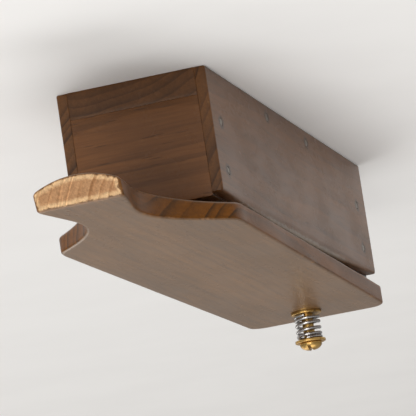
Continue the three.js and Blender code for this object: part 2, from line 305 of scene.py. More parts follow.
class Graph:
    """A short way to write a material's nodes. Values may be numbers, colours or sockets."""

    def __init__(self, name):
        self.material = bpy.data.materials.new(name)
        self.material.use_nodes = True
        self.tree = self.material.node_tree
        self.tree.nodes.clear()
        self.output = self.tree.nodes.new("ShaderNodeOutputMaterial")
        self.surface = self.tree.nodes.new("ShaderNodeBsdfPrincipled")
        self.tree.links.new(self.surface.outputs[0], self.output.inputs[0])
        coordinates = self.tree.nodes.new("ShaderNodeTexCoord")
        self.normal = coordinates.outputs["Normal"]
        self.place = self.vector("MULTIPLY", coordinates.outputs["Object"], (1 / MM,) * 3)

    def put(self, socket, value):
        if isinstance(value, bpy.types.NodeSocket):
            self.tree.links.new(value, socket)
        elif isinstance(value, (tuple, list)) and socket.type == "RGBA" and len(value) == 3:
            socket.default_value = (*value, 1)
        else:
            socket.default_value = value

    def math(self, operation, a, b=0.0, c=0.0):
        node = self.tree.nodes.new("ShaderNodeMath")
        node.operation = operation
        for socket, value in zip(node.inputs, (a, b, c)):
            self.put(socket, value)
        return node.outputs[0]

    def vector(self, operation, a, b=(0, 0, 0)):
        node = self.tree.nodes.new("ShaderNodeVectorMath")
        node.operation = operation
        self.put(node.inputs[0], a)
        self.put(node.inputs[1], b)
        return node.outputs["Value" if operation == "DOT_PRODUCT" else "Vector"]

    def split(self, vector):
        node = self.tree.nodes.new("ShaderNodeSeparateXYZ")
        self.put(node.inputs[0], vector)
        return node.outputs[0], node.outputs[1], node.outputs[2]

    def join(self, x, y, z):
        node = self.tree.nodes.new("ShaderNodeCombineXYZ")
        for socket, value in zip(node.inputs, (x, y, z)):
            self.put(socket, value)
        return node.outputs[0]

    def noise(self, vector, scale, detail=2.0, rough=0.5):
        """Noise between about 0 and 1; scale is a number or one per axis, per millimetre."""
        node = self.tree.nodes.new("ShaderNodeTexNoise")
        if isinstance(scale, tuple):
            vector = self.vector("MULTIPLY", vector, scale)
            scale = 1.0
        self.put(node.inputs["Vector"], vector)
        node.inputs["Scale"].default_value = scale
        node.inputs["Detail"].default_value = detail
        node.inputs["Roughness"].default_value = rough
        return node.outputs["Fac"]

    def cells(self, vector, scale):
        """Distance to the nearest of scattered points; scale is one number per axis."""
        node = self.tree.nodes.new("ShaderNodeTexVoronoi")
        self.put(node.inputs["Vector"], self.vector("MULTIPLY", vector, scale))
        node.inputs["Scale"].default_value = 1.0
        return node.outputs["Distance"]

    def random(self, value):
        node = self.tree.nodes.new("ShaderNodeTexWhiteNoise")
        node.noise_dimensions = "1D"
        self.put(node.inputs["W"], value)
        return node.outputs["Value"]

    def between(self, value, low, high, to_low=0.0, to_high=1.0):
        """Smoothly from to_low to to_high as value goes from low to high."""
        node = self.tree.nodes.new("ShaderNodeMapRange")
        node.interpolation_type = "SMOOTHSTEP"
        for socket, number in zip(node.inputs, (value, low, high, to_low, to_high)):
            self.put(socket, number)
        return node.outputs[0]

    def ramp(self, value, stops):
        node = self.tree.nodes.new("ShaderNodeValToRGB")
        elements = node.color_ramp.elements
        while len(elements) < len(stops):
            elements.new(0.5)
        for element, (position, colour) in zip(elements, stops):
            element.position = position
            element.color = (*colour, 1)
        self.put(node.inputs[0], value)
        return node.outputs[0]

    def mix(self, share, a, b):
        node = self.tree.nodes.new("ShaderNodeMix")
        node.data_type = "RGBA"
        self.put(node.inputs["Factor"], share)
        self.put(node.inputs[6], a)
        self.put(node.inputs[7], b)
        return node.outputs[2]

    def scale(self, colour, amount):
        """A colour made lighter or darker by a value."""
        node = self.tree.nodes.new("ShaderNodeVectorMath")
        node.operation = "SCALE"
        self.put(node.inputs[0], colour)
        self.put(node.inputs["Scale"], amount)
        return node.outputs[0]

    def shade(self, colour, value, low, high, to_low, to_high):
        """A colour scaled smoothly from to_low to to_high as value goes from low to high."""
        return self.scale(colour, self.between(value, low, high, to_low, to_high))

    def bump(self, height, millimetres, below=None):
        node = self.tree.nodes.new("ShaderNodeBump")
        node.inputs["Strength"].default_value = 1.0
        node.inputs["Distance"].default_value = millimetres * MM
        self.put(node.inputs["Height"], height)
        if below is not None:
            self.put(node.inputs["Normal"], below)
        return node.outputs[0]

    def finish(self, **values):
        for name, value in values.items():
            self.put(self.surface.inputs[name.replace("_", " ")], value)
        return self.material


def colour(red, green, blue):
    """A linear colour from 0 to 255 display values."""
    def linear(c):
        c /= 255
        return c / 12.92 if c <= 0.04045 else ((c + 0.055) / 1.055) ** 2.4
    return linear(red), linear(green), linear(blue)


# ---------------------------------------------------------------- wood

GRAIN_ORDER = {"X": (0, 1, 2), "Y": (1, 2, 0), "Z": (2, 0, 1)}
CHALK = colour(196, 192, 184)
SCRATCH_DEGREES = (12.0, -31.0, 74.0)
RING_PROFILE = [(0.0, 0.04), (0.3, 0.12), (0.68, 0.5), (0.88, 1), (0.96, 0.9), (1.0, 0.05)]
BARE_RING_TINT = (0.62, 0.5, 0.4)
PLAIN_MIRROR = 0.18
PLAIN_COAT = 0.2
RIM_BEND = math.radians(12)
WHITE = (1.0, 1.0, 1.0)


def scratches(g):
    """Fine scratches in a few directions, in patches: 1 in a scratch."""
    x, y, z = g.split(g.place)
    flat = g.math("ADD", y, z)
    lines = 0.0
    for number, degrees in enumerate(SCRATCH_DEGREES):
        cos, sin = math.cos(math.radians(degrees)), math.sin(math.radians(degrees))
        u = g.math("ADD", g.math("MULTIPLY", x, cos), g.math("MULTIPLY", flat, sin))
        v = g.math("SUBTRACT", g.math("MULTIPLY", flat, cos), g.math("MULTIPLY", x, sin))
        stretched = g.join(g.math("MULTIPLY", u, 0.05), g.math("MULTIPLY", v, 2.6), 31.0 * number)
        lines = g.math("MAXIMUM", lines, g.between(g.noise(stretched, 1.0, 1), 0.735, 0.77))
    patches = g.between(g.noise(g.place, 0.035, 2), 0.45, 0.62)
    return g.math("MULTIPLY", lines, patches)


class Grain:
    """The growth rings, fibres and pores at each point of a piece of wood.

    axis is the fibres' direction, and pith the place of the tree's centre across it. spacing is
    the growth rings' mean width, and shift moves the pattern along the fibres.
    """

    def __init__(self, g, axis, pith, spacing, shift):
        axes = g.split(g.place)
        self.along, across, other = (axes[k] for k in GRAIN_ORDER[axis])
        self.place = g.join(g.math("ADD", self.along, shift), across, other)
        self.radius = self.pith_distance(g, pith)
        self.end_share = g.math("ABSOLUTE", g.split(g.normal)["XYZ".index(axis)])
        self.end_grain = g.between(self.end_share, 0.55, 0.9)
        self.late = self.late_wood(g, spacing, shift)
        self.streak = g.noise(self.place, (0.035, 1.1, 1.1), 4, 0.6)
        self.hair = g.noise(self.place, (0.12, 5.5, 5.5), 3, 0.65)
        self.pore = self.pores(g)

    def pith_distance(self, g, pith):
        """Distance to the tree's centre, wavering along the board."""
        sway = g.math("SUBTRACT", g.noise(self.place, (0.007, 0.03, 0.03), 1), 0.5)
        wiggle = g.math("SUBTRACT", g.noise(self.place, (0.03, 0.16, 0.16), 2), 0.5)
        _, a, b = g.split(g.vector("SUBTRACT", self.place, (0, *pith)))
        radius = g.math("SQRT", g.math("ADD", g.math("MULTIPLY", a, a), g.math("MULTIPLY", b, b)))
        return g.math("MULTIPLY_ADD", wiggle, 1.1, g.math("MULTIPLY_ADD", sway, 9.0, radius))

    def late_wood(self, g, spacing, shift):
        """The share of dark late wood, faint along the fibres and strong across them."""
        drift = g.noise(g.join(0, g.math("MULTIPLY", self.radius, 0.11), shift), 1.0, 1)
        ring = g.math("MULTIPLY_ADD", drift, 2.6, g.math("DIVIDE", self.radius, spacing))
        late = g.ramp(g.math("FRACT", ring), [(stop, (level,) * 3) for stop, level in RING_PROFILE])
        tone = g.random(g.math("FLOOR", ring))
        late = g.math("MULTIPLY", late, g.between(tone, 0, 1, 0.45, 1.0))
        return g.math("MULTIPLY", late, g.between(self.end_share, 0.05, 0.35, 0.5, 1.0))

    def pores(self, g):
        """Open pores in patches, which end grain shows less."""
        room = g.between(g.noise(self.place, (0.02, 0.25, 0.25), 1), 0.35, 0.6)
        pore = g.between(g.cells(self.place, (0.07, 1.35, 1.35)), 0.10, 0.22, 1.0, 0.0)
        pore = g.math("MULTIPLY", pore, room)
        return g.math("MULTIPLY", pore, g.between(self.end_grain, 0, 1, 1.0, 0.3))


def stained_colour(g, grain, early, late):
    stained = g.mix(grain.late, early, late)
    stained = g.shade(stained, grain.streak, 0.25, 0.75, 0.84, 1.14)
    stained = g.shade(stained, grain.hair, 0.2, 0.8, 0.88, 1.12)
    blotch = g.noise(grain.place, (0.012, 0.05, 0.05), 3)
    stained = g.shade(stained, blotch, 0.25, 0.75, 0.84, 1.16)
    stained = g.shade(stained, grain.end_grain, 0, 1, 1.0, 0.66)
    return g.shade(stained, grain.pore, 0, 1, 1.0, 0.55)


def bared_colour(g, grain, bare):
    """Wood without stain. Its end grain is speckled and crossed by pale rays."""
    ring_colour = tuple(c * k for c, k in zip(bare, BARE_RING_TINT))
    bared = g.mix(g.math("MULTIPLY", grain.late, 0.7), bare, ring_colour)
    bared = g.shade(bared, grain.hair, 0.2, 0.8, 0.84, 1.14)
    bared = g.shade(bared, grain.streak, 0.25, 0.75, 0.88, 1.1)
    bared = g.shade(bared, grain.pore, 0, 1, 1.0, 0.62)
    speckle = g.between(g.noise(g.place, 1.2, 3, 0.7), 0.35, 0.65, -0.16, 0.12)
    bared = g.scale(bared, g.math("MULTIPLY_ADD", speckle, grain.end_grain, 1.0))
    ray_place = g.join(g.math("MULTIPLY", grain.radius, 0.9), g.math("MULTIPLY", grain.along, 0.05), 7.0)
    ray = g.between(g.noise(ray_place, 1.0, 2), 0.56, 0.68)
    return g.scale(bared, g.math("MULTIPLY_ADD", ray, g.math("MULTIPLY", grain.end_grain, 0.5), 1.0))


def rubbed_rims(g, wear):
    """Where stain and lacquer are rubbed off along the rims, in patches."""
    rim = g.tree.nodes.new("ShaderNodeAttribute")
    rim.attribute_name = "rim"
    patch = g.noise(g.place, (0.09, 0.3, 0.3), 5, 0.7)
    rub = g.math("MULTIPLY_ADD", rim.outputs["Fac"], wear, g.math("MULTIPLY", patch, 0.6))
    return g.between(rub, 0.58, 0.7)


def lacquered(g, grain, surface, scratch, dull, mirror, coat):
    """Finishes a wood with satin lacquer, which is missing where the wood is dull."""
    smudge = g.noise(g.place, (0.03, 0.06, 0.06), 4, 0.6)
    sheen = g.between(smudge, 0.3, 0.7, 0.36, 0.44)
    roughness = g.math("MAXIMUM", sheen, g.math("MULTIPLY", dull, 0.8))
    roughness = g.math("MULTIPLY_ADD", scratch, 0.18, roughness)
    pits = g.math("MULTIPLY_ADD", grain.pore, -1.0, g.math("MULTIPLY", grain.hair, 0.5))
    relief = g.bump(g.math("MULTIPLY", grain.late, dull), 0.06, g.bump(pits, 0.05))
    return g.finish(
        Base_Color=surface, Roughness=roughness, Normal=relief, Specular_IOR_Level=mirror,
        Coat_Weight=g.math("MULTIPLY", g.between(dull, 0, 1, 1.0, 0.0), coat),
        Coat_Roughness=g.between(smudge, 0.3, 0.7, 0.22, 0.3),
        Coat_Normal=g.bump(g.noise(g.place, 0.9, 2), 0.008),
    )


def wood(name, axis, pith, spacing, early, late, bare,
         edge=None, raw=None, chalk=None, stain=None, wear=0.26, shift=0.0):
    """Solid, stained and lacquered wood.

    axis, pith, spacing and shift are Grain's. early and late are the stained ring colours, bare
    the wood under the stain, and edge the early colour where a board's edge has drunk more stain.
    raw(graph), chalk(graph) and stain(graph) may give masks for unfinished, chalked and blackened
    places, and raw also a tint for them that paints highlight or shade onto the bare wood. wear is how far
    the rims are rubbed.
    """
    g = Graph(name)
    grain = Grain(g, axis, pith, spacing, shift)
    mirror, coat = PLAIN_MIRROR, PLAIN_COAT
    if edge is not None:
        upright = g.math("ABSOLUTE", g.split(g.normal)[2])
        on_edge = g.between(upright, 0.3, 0.75, 1.0, 0.0)
        early = g.mix(on_edge, early, edge)
        grain.late = g.math("MULTIPLY", grain.late, g.between(on_edge, 0, 1, 0.62, 1.15))
        mirror = g.between(on_edge, 0, 1, 0.42, 0.1)
        coat = g.between(on_edge, 0, 1, 0.4, 0.08)
    stained = stained_colour(g, grain, early, late)
    bared = bared_colour(g, grain, bare)
    dull = rubbed_rims(g, wear)
    bright = g.math("MULTIPLY", dull, 0.62)
    if raw is not None:
        raw_mask, raw_painted_light = raw(g)
        # The raw tint is painted light: a highlight on the lid's sawn end, shade in the box's chamber.
        bared = g.vector("MULTIPLY", bared, raw_painted_light)
        bright = g.math("MAXIMUM", bright, raw_mask)
        dull = g.math("MAXIMUM", dull, raw_mask)
    scratch = scratches(g)
    surface = g.shade(g.mix(bright, stained, bared), scratch, 0, 1, 1.0, 1.22)
    if stain is not None:
        surface = g.shade(surface, stain(g), 0, 1, 1.0, 0.42)
    if chalk is not None:
        powder = chalk(g)
        surface = g.mix(g.math("MULTIPLY", powder, 0.75), surface, CHALK)
        dull = g.math("MAXIMUM", dull, powder)
    return lacquered(g, grain, surface, scratch, dull, mirror, coat)


def mark_rims(piece):
    """Writes the rim attribute: 1 at points on convex, bent edges and 0 elsewhere."""
    mesh = piece.data
    bm = bmesh.new()
    bm.from_mesh(mesh)
    bm.normal_update()
    on_rim = np.zeros(len(mesh.vertices), np.float32)
    for edge in bm.edges:
        if len(edge.link_faces) != 2 or not edge.is_convex:
            continue
        if edge.calc_face_angle(0) > RIM_BEND:
            for v in edge.verts:
                on_rim[v.index] = 1.0
    bm.free()
    attribute = mesh.attributes.get("rim") or mesh.attributes.new("rim", "FLOAT", "POINT")
    attribute.data.foreach_set("value", on_rim)


def seat(piece, body, node):
    """Marks a wooden piece's rims and puts it on a body in place of its CAD node."""
    mark_rims(piece)
    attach(piece, body)
    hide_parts(node)


# ---------------------------------------------------------------- paddle lid

LID_RIM = 0.9
TAIL_HALF_WIDTH = 26.0
TAIL_CORNER = 6.0
SHOULDER_HALF_WIDTH = lid_high[1]
SHOULDER_START = 81.0
FLARE_TOP = 72.0
FLARE_TOP_HALF_WIDTH = 28.0
NECK = 33.0
NECK_HALF_WIDTH = 9.85
TIP_HALF_WIDTH = 13.9
TIP_CORNER = 1.5
TIP_RAKE = 2.3
TIP_RAKE_LENGTH = 12.0
SHOULDER_RUN = 4.0
FLARE_TOP_RUN_IN, FLARE_TOP_DROP_IN = 2.0, 1.7
FLARE_TOP_RUN_OUT, FLARE_TOP_DROP_OUT = 14.0, 12.0
NECK_RUN_IN, NECK_RUN_OUT = 14.0, 10.0
TIP_RUN_IN, TIP_DROP_IN = 12.5, 0.7
BODY_CROWN_RADIUS = 160.0
HANDLE_CROWN_RADIUS = 27.5
CROWN_CHANGE_START = 84.0
CROWN_CHANGE_END = 20.0
LID_HOLE_RADIUS = 3.1
LID_HOLE_BELL = 0.4
LID_HOLE_BELL_RISE = 0.3
LID_EDGE_WAVE = 0.25
LID_EDGE_WAVE_LENGTH = 60.0
RAW_END_START, RAW_END_FULL = 6.0, 4.5
SOLE_FULL, SOLE_END = 84.0, 80.0
SOLE_RAWNESS = 0.85
STROKE_FROM_MIDDLE = 19.0
STROKE_FULL, STROKE_REACH = 3.0, 9.0
STROKE_RISE, STROKE_FALL = (20, 60), (165, 195)
# Cream tint of the painted highlight just inside the sawn end's rim.
PAINTED_HIGHLIGHT_TINT = (1.62, 1.95, 2.15)

tail_x, tip_x = lid_low[0], lid_high[0]
lid_top, lid_thickness = lid_high[2], lid_high[2] - lid_low[2]


def lid_side():
    """The lid's plan on its +Y side, from tail to tip."""
    neck, flare, shoulder = tip_x - NECK, tip_x - FLARE_TOP, tip_x - SHOULDER_START
    tail_corner = (tail_x + TAIL_CORNER, TAIL_HALF_WIDTH - TAIL_CORNER)
    tip_corner = (tip_x - TIP_CORNER, TIP_HALF_WIDTH - TIP_CORNER)
    side_start = (tail_x + TAIL_CORNER, TAIL_HALF_WIDTH)
    shoulder_point = (shoulder, SHOULDER_HALF_WIDTH)
    flare_point = (flare, FLARE_TOP_HALF_WIDTH)
    neck_point = (neck, NECK_HALF_WIDTH)
    tip_point = (tip_x - TIP_CORNER, TIP_HALF_WIDTH)
    return np.concatenate([
        arc(tail_corner, TAIL_CORNER, 180, 90, 12),
        line(side_start, shoulder_point, 90),
        bezier(shoulder_point, (shoulder + SHOULDER_RUN, SHOULDER_HALF_WIDTH),
               (flare - FLARE_TOP_RUN_IN, FLARE_TOP_HALF_WIDTH + FLARE_TOP_DROP_IN), flare_point, 8),
        bezier(flare_point, (flare + FLARE_TOP_RUN_OUT, FLARE_TOP_HALF_WIDTH - FLARE_TOP_DROP_OUT),
               (neck - NECK_RUN_IN, NECK_HALF_WIDTH), neck_point, 30),
        bezier(neck_point, (neck + NECK_RUN_OUT, NECK_HALF_WIDTH),
               (tip_point[0] - TIP_RUN_IN, TIP_HALF_WIDTH - TIP_DROP_IN), tip_point, 22),
        arc(tip_corner, TIP_CORNER, 90, 0, 6)[1:],
    ])


def lid_underside(x, y):
    handle = smoothstep(x, tip_x - CROWN_CHANGE_START, tip_x - CROWN_CHANGE_END)
    crown = (1 - handle) / BODY_CROWN_RADIUS + handle / HANDLE_CROWN_RADIUS
    return lid_top - lid_thickness + crown * y * y / 2


def lid_place(x, y, z):
    depth = np.clip((lid_top - z) / np.maximum(lid_top - lid_underside(x, y), 1e-6), 0, 1)
    rake = TIP_RAKE * smoothstep(x, tip_x - TIP_RAKE_LENGTH, tip_x) * (1 - depth)
    return x - rake, y, z


def crown_height(g, y, radius):
    """The underside's height over y where its crown has the given radius."""
    return g.math("MULTIPLY_ADD", g.math("MULTIPLY", y, y), 0.5 / radius, lid_top - lid_thickness)


def raw_lid(g):
    """The lid's unfinished places: the handle's sawn end, broken away round its rim, with a pale painted
    highlight just inside that rim where light would catch the rounded edge, and the underside over the box,
    where lacquer would deaden the wood."""
    x, y, z = g.split(g.place)
    _, _, facing_z = g.split(g.normal)
    lean = math.hypot(TIP_RAKE, lid_thickness)
    facing_end = g.vector("DOT_PRODUCT", g.normal, (lid_thickness / lean, 0, TIP_RAKE / lean))
    tooth = g.math("SUBTRACT", g.noise(g.place, (0.4, 0.75, 0.75), 3, 0.6), 0.5)
    facing_down = g.math("MAXIMUM", g.math("MULTIPLY", facing_z, -1.0), 0.0)
    ragged = g.math("MULTIPLY_ADD", tooth, 0.75, facing_end)
    ragged = g.math("MULTIPLY_ADD", facing_down, 0.35, ragged)
    end = g.math("MAXIMUM", g.between(ragged, 0.82, 0.94), g.between(facing_end, 0.985, 0.995))
    golden = g.math("MULTIPLY", g.between(facing_end, 0.12, 0.4), 0.4)
    near_end = g.between(x, tip_x - RAW_END_START, tip_x - RAW_END_FULL)
    end = g.math("MULTIPLY", g.math("MAXIMUM", end, golden), near_end)

    from_top = g.math("SUBTRACT", lid_top, z)
    from_crown = g.math("SUBTRACT", z, crown_height(g, y, HANDLE_CROWN_RADIUS))
    from_side = g.math("SUBTRACT", TIP_HALF_WIDTH, g.math("ABSOLUTE", y))
    inside = g.math("MINIMUM", g.math("MINIMUM", from_top, from_crown), from_side)
    inside = g.math("MULTIPLY_ADD", tooth, 1.6, inside)
    end = g.math("MULTIPLY", end, g.between(inside, 0.3, 0.9, 0.3, 1.0))
    # Painted highlight: the sawn end is made paler in a band just inside its rim, standing in for light on
    # the rounded edge.
    painted_highlight = g.math("MULTIPLY", end, g.between(inside, 1.2, 2.4, 1.0, 0.0))
    tint = g.mix(painted_highlight, WHITE, PAINTED_HIGHLIGHT_TINT)

    over_box = g.between(x, tip_x - SOLE_FULL, tip_x - SOLE_END, 1.0, 0.0)
    sole = g.math("MULTIPLY", g.between(facing_z, -0.97, -0.9, 1.0, 0.0), over_box)
    return g.math("MAXIMUM", end, g.math("MULTIPLY", sole, SOLE_RAWNESS)), tint


def chalked_length(g, x, rise, fall):
    """1 along the length that strokes or is stroked, fading in over rise and out over fall."""
    return g.math("MULTIPLY", g.between(x, *rise), g.between(x, *fall, 1.0, 0.0))


def stroked_underside(g):
    """Chalk rubbed into the underside by the lips, in arcs about the hinge screw."""
    x, y, _ = g.split(g.place)
    _, _, facing = g.split(g.normal)
    reach = g.math("SQRT", g.math("ADD", g.math("MULTIPLY", x, x), g.math("MULTIPLY", y, y)))
    strokes = g.noise(g.join(g.math("MULTIPLY", reach, 1.3), g.math("MULTIPLY", y, 0.07), 0), 1.0, 3, 0.6)
    side = g.math("ABSOLUTE", g.math("SUBTRACT", g.math("ABSOLUTE", y), STROKE_FROM_MIDDLE))
    band = g.between(side, STROKE_FULL, STROKE_REACH, 1.0, 0.0)
    span = chalked_length(g, x, STROKE_RISE, STROKE_FALL)
    mask = g.math("MULTIPLY", g.math("MULTIPLY", band, span), g.between(facing, -0.9, -0.6, 1.0, 0.0))
    return g.math("MULTIPLY", mask, g.between(strokes, 0.42, 0.62, 0.0, 0.8))


lid_wood = wood(
    "lid_wood", "X", pith=(-105.0, lid_top + 50.0), spacing=3.1,
    early=colour(106, 74, 40), late=colour(66, 42, 18), bare=colour(164, 126, 92),
    edge=colour(112, 67, 20), raw=raw_lid, chalk=stroked_underside,
)


def hand_shaped(side, seed):
    """An edge with the slight unevenness of a hand-held sander."""
    wavy = side.copy()
    wavy[:, 1] -= LID_EDGE_WAVE * (1 + ripple(side[:, 0], 0 * side[:, 0], seed, LID_EDGE_WAVE_LENGTH)) / 2
    return wavy


def paddle_lid():
    """The lid, flat on top, crowned below and raked at its tip, with the screw's hole."""
    def flat_top(x, y):
        return np.full(np.shape(x), lid_top)

    right, left = hand_shaped(lid_side(), 5) * (1, -1), hand_shaped(lid_side(), 6)
    verts, faces = slab(right, left, np.linspace(0, 1, 33), flat_top, lid_underside,
                        (LID_RIM, LID_RIM), lid_place, wall_rows=6, rim_steps=5)
    lid = make("paddle_lid_body", verts, faces, lid_wood)
    cut(lid, [bar("lid_hole", LID_HOLE_RADIUS, lid_low[2] - BAR_OVERSHOOT, lid_top + LID_HOLE_BELL_RISE,
                  LID_HOLE_BELL)])
    seat(lid, "lid", "paddle_lid")


paddle_lid()


# ---------------------------------------------------------------- sound box

BOARD_OUTER_RIM = 0.6
JOINT_RIM = 0.12
LIP_BEVEL_HEIGHT = 3.0
LIP_WIDTH = {1: 1.4, -1: 1.8}
RELIEF_DEPTH = 1.2
RELIEF_START = 26.0
RELIEF_FULL = 31.0
RELIEF_END_LENGTH = 6.0
LIP_ARCH = 1.9
LIP_CHALK_RISE, LIP_CHALK_FALL = (10, 50), (170, 196)
BOARD_CORNER = 0.9
BOARD_WAVE, BOARD_WAVE_LENGTH = 0.05, 70.0
BLOCK_WAVE, BLOCK_WAVE_LENGTH = 0.06, 45.0
PILOT_RADIUS = 2.4
PILOT_BELL = 0.3
PILOT_EXTRA_DEPTH = 2.0
BRAD_HEAD_RADIUS = 1.3
BRAD_RADIUS = 0.65
BRAD_LENGTH = 15.0
BRAD_SEGMENTS = 28
CHAMBER_RAWNESS = 0.85
# Darkening of the bare chamber walls: painted shade inside the box.
CHAMBER_PAINTED_SHADE = (0.8, 0.8, 0.8)

half_width = left_high[1]
side_inner = left_low[1]
lip_top = left_high[2]
box_start, box_end = left_low[0], left_high[0]
box_middle = (box_start + box_end) / 2
chamber_start, chamber_end = hinge_high[0], handle_low[0]


def lip_height(x):
    """The height of the sides' arched upper edge."""
    return lip_top - LIP_ARCH * ((x - box_middle) / (box_middle - box_start)) ** 2


def in_chamber(g):
    """The chamber's walls, which the stain never reached, their bare wood darkened as painted shade inside
    the box.
    """
    x, y, z = g.split(g.place)
    relieved = side_inner + RELIEF_DEPTH
    across = g.between(g.math("ABSOLUTE", y), relieved + 0.05, relieved + 0.3, 1.0, 0.0)
    along = g.math("MULTIPLY", g.between(x, chamber_start - 0.5, chamber_start - 0.2),
                   g.between(x, chamber_end + 0.2, chamber_end + 0.5, 1.0, 0.0))
    above = g.between(z, base_high[2] - 0.3, base_high[2] - 0.1)
    mask = g.math("MULTIPLY", g.math("MULTIPLY", across, along), g.math("MULTIPLY", above, CHAMBER_RAWNESS))
    # The tint darkens the raw walls as painted shade inside the chamber.
    return mask, g.mix(mask, WHITE, CHAMBER_PAINTED_SHADE)


def lip_chalk(g):
    """Chalk on the striking edges and dusted down from them."""
    x, _, z = g.split(g.place)
    speck = g.noise(g.place, (0.25, 0.9, 0.9), 4, 0.7)
    edge = g.between(g.math("MULTIPLY_ADD", speck, 3.4, z), lip_top - 0.4, lip_top + 1.6)
    span = chalked_length(g, x, LIP_CHALK_RISE, LIP_CHALK_FALL)
    return g.math("MULTIPLY", g.math("MULTIPLY", edge, span), 0.85)


def iron_stain(g):
    """Wood blackened round the brads' heads."""
    x, y, z = g.split(g.place)
    places = {tuple((low + high)[[0, 2]] / 2) for low, high in map(box_mm, brad_nodes)}
    nearest = 100.0
    for brad_x, brad_z in sorted(places):
        dx, dz = g.math("SUBTRACT", x, brad_x), g.math("SUBTRACT", z, brad_z)
        away = g.math("ADD", g.math("MULTIPLY", g.math("MULTIPLY", dx, dx), 0.45), g.math("MULTIPLY", dz, dz))
        nearest = g.math("MINIMUM", nearest, away)
    ragged = g.math("MULTIPLY_ADD", g.noise(g.place, (0.3, 1.2, 1.2), 4, 0.7), -3.8, g.math("SQRT", nearest))
    outside = g.between(g.math("ABSOLUTE", y), side_inner + 0.5, side_inner + 1.5)
    return g.math("MULTIPLY", g.between(ragged, -0.3, 0.9, 1.0, 0.0), outside)


side_wood = wood(
    "side_wood", "X", pith=(60.0, -30.0), spacing=3.6,
    early=colour(112, 72, 36), late=colour(66, 39, 17), bare=colour(186, 142, 94),
    raw=in_chamber, chalk=lip_chalk, stain=iron_stain, wear=0.22, shift=57.0,
)
end_wood = wood(
    "end_block_wood", "Y", pith=(-70.0, 30.0), spacing=3.4,
    early=colour(100, 63, 32), late=colour(56, 33, 15), bare=colour(178, 134, 86),
    raw=in_chamber, wear=0.16, shift=211.0,
)
base_wood = wood(
    "base_wood", "X", pith=(12.0, -64.0), spacing=3.3,
    early=colour(102, 65, 33), late=colour(58, 34, 16), bare=colour(180, 136, 88),
    raw=in_chamber, wear=0.16, shift=133.0,
)


def sound_board(side):
    """One side board, with side +1 on the left and -1 on the right."""
    near, far = rounded_rectangle(box_start, box_end, 0.0, 1.0, 0.5, 1.6)
    near[:, 1] *= BOARD_CORNER
    far[:, 1] = lip_height(far[:, 0]) - (1 - far[:, 1]) * BOARD_CORNER
    lip_outer = side_inner + RELIEF_DEPTH + LIP_WIDTH[side]

    def outer(x, z):
        rise = np.clip((z - (lip_top - LIP_BEVEL_HEIGHT)) / LIP_BEVEL_HEIGHT, 0, 1)
        face = half_width + (lip_outer - half_width) * rise
        return face - BOARD_WAVE * (1 + ripple(x, z, 11 + side, BOARD_WAVE_LENGTH)) / 2

    def inner(x, z):
        depth = smoothstep(z, RELIEF_START, RELIEF_FULL)
        ends = smoothstep(x, chamber_start, chamber_start + RELIEF_END_LENGTH)
        ends = ends * (1 - smoothstep(x, chamber_end - RELIEF_END_LENGTH, chamber_end))
        return side_inner + RELIEF_DEPTH * depth * ends

    def place(u, v, w):
        return u, side * w, v

    low_columns, relief_columns = np.linspace(0, 0.58, 12), np.linspace(0.6, 0.9, 14)[:-1]
    columns = np.concatenate([low_columns, relief_columns, np.linspace(0.9, 1, 9)])
    verts, faces = slab(
        near, far, columns, outer, inner, (BOARD_OUTER_RIM, JOINT_RIM), place, wall_rows=2, rim_steps=3,
    )
    word = "left" if side > 0 else "right"
    return make(word + "_sound_board_panel", verts, faces, side_wood), word


def flat_block(name, low, high, material):
    """A squared wooden block between two corners, with eased edges and a slightly uneven top."""
    near, far = rounded_rectangle(low[0], high[0], low[1], high[1], JOINT_RIM + 0.1, 2.5)

    def top(x, y):
        return high[2] - BLOCK_WAVE * (1 + ripple(x, y, len(name), BLOCK_WAVE_LENGTH)) / 2

    def bottom(x, y):
        return np.full(np.shape(x), low[2])

    def place(u, v, w):
        return u, v, w

    verts, faces = slab(
        near, far, np.linspace(0, 1, 17), top, bottom, (JOINT_RIM, JOINT_RIM), place,
        wall_rows=8, rim_steps=3,
    )
    return make(name, verts, faces, material)


def brad_cutter(node):
    """The hole of one brad, with a rim dented round its head."""
    low, high = box_mm(node)
    side = 1 if low[1] > 0 else -1
    verts, faces = turned([
        (BRAD_RADIUS + 0.05, -BRAD_LENGTH - 0.2), (BRAD_RADIUS + 0.05, -0.55),
        (BRAD_HEAD_RADIUS + 0.08, -0.5), (BRAD_HEAD_RADIUS + 0.12, -0.1), (BRAD_HEAD_RADIUS + 0.5, 0.3),
    ], BRAD_SEGMENTS)
    cutter = make("brad_hole", verts, faces, None)
    cutter.data.transform(brad_matrix(low, high, side))
    return cutter


def brad_matrix(low, high, side):
    """Turns a piece made on Z, head up at the origin, into the side at a brad's place."""
    middle = (low + high) / 2 * MM
    turn = Matrix.Rotation(-side * math.pi / 2, 4, "X")
    return Matrix.Translation((middle[0], side * half_width * MM, middle[2])) @ turn


def brad_holes(mark):
    """Cutters for the brads with a mark in their names."""
    return [brad_cutter(node) for node in brad_nodes if mark in node]


boards = [sound_board(1), sound_board(-1)]
for board, word in boards:
    cut(board, brad_holes("_" + word + "_"))
    seat(board, "box", word + "_sound_board")

base = flat_block("base_board_panel", base_low, base_high, base_wood)
cut(base, brad_holes("_base_"))
seat(base, "box", "base_board")

hinge_block = flat_block("hinge_end_block_body", hinge_low, hinge_high, end_wood)
pilot = bar("pilot", PILOT_RADIUS, screw_low[2] - PILOT_EXTRA_DEPTH, hinge_high[2], PILOT_BELL)
cut(hinge_block, [pilot] + brad_holes("_hinge_"))
seat(hinge_block, "box", "hinge_end_block")

handle_block = flat_block("handle_end_block_body", handle_low, handle_high, end_wood)
cut(handle_block, brad_holes("_handle_"))
seat(handle_block, "box", "handle_end_block")


# ---------------------------------------------------------------- metals and nylon

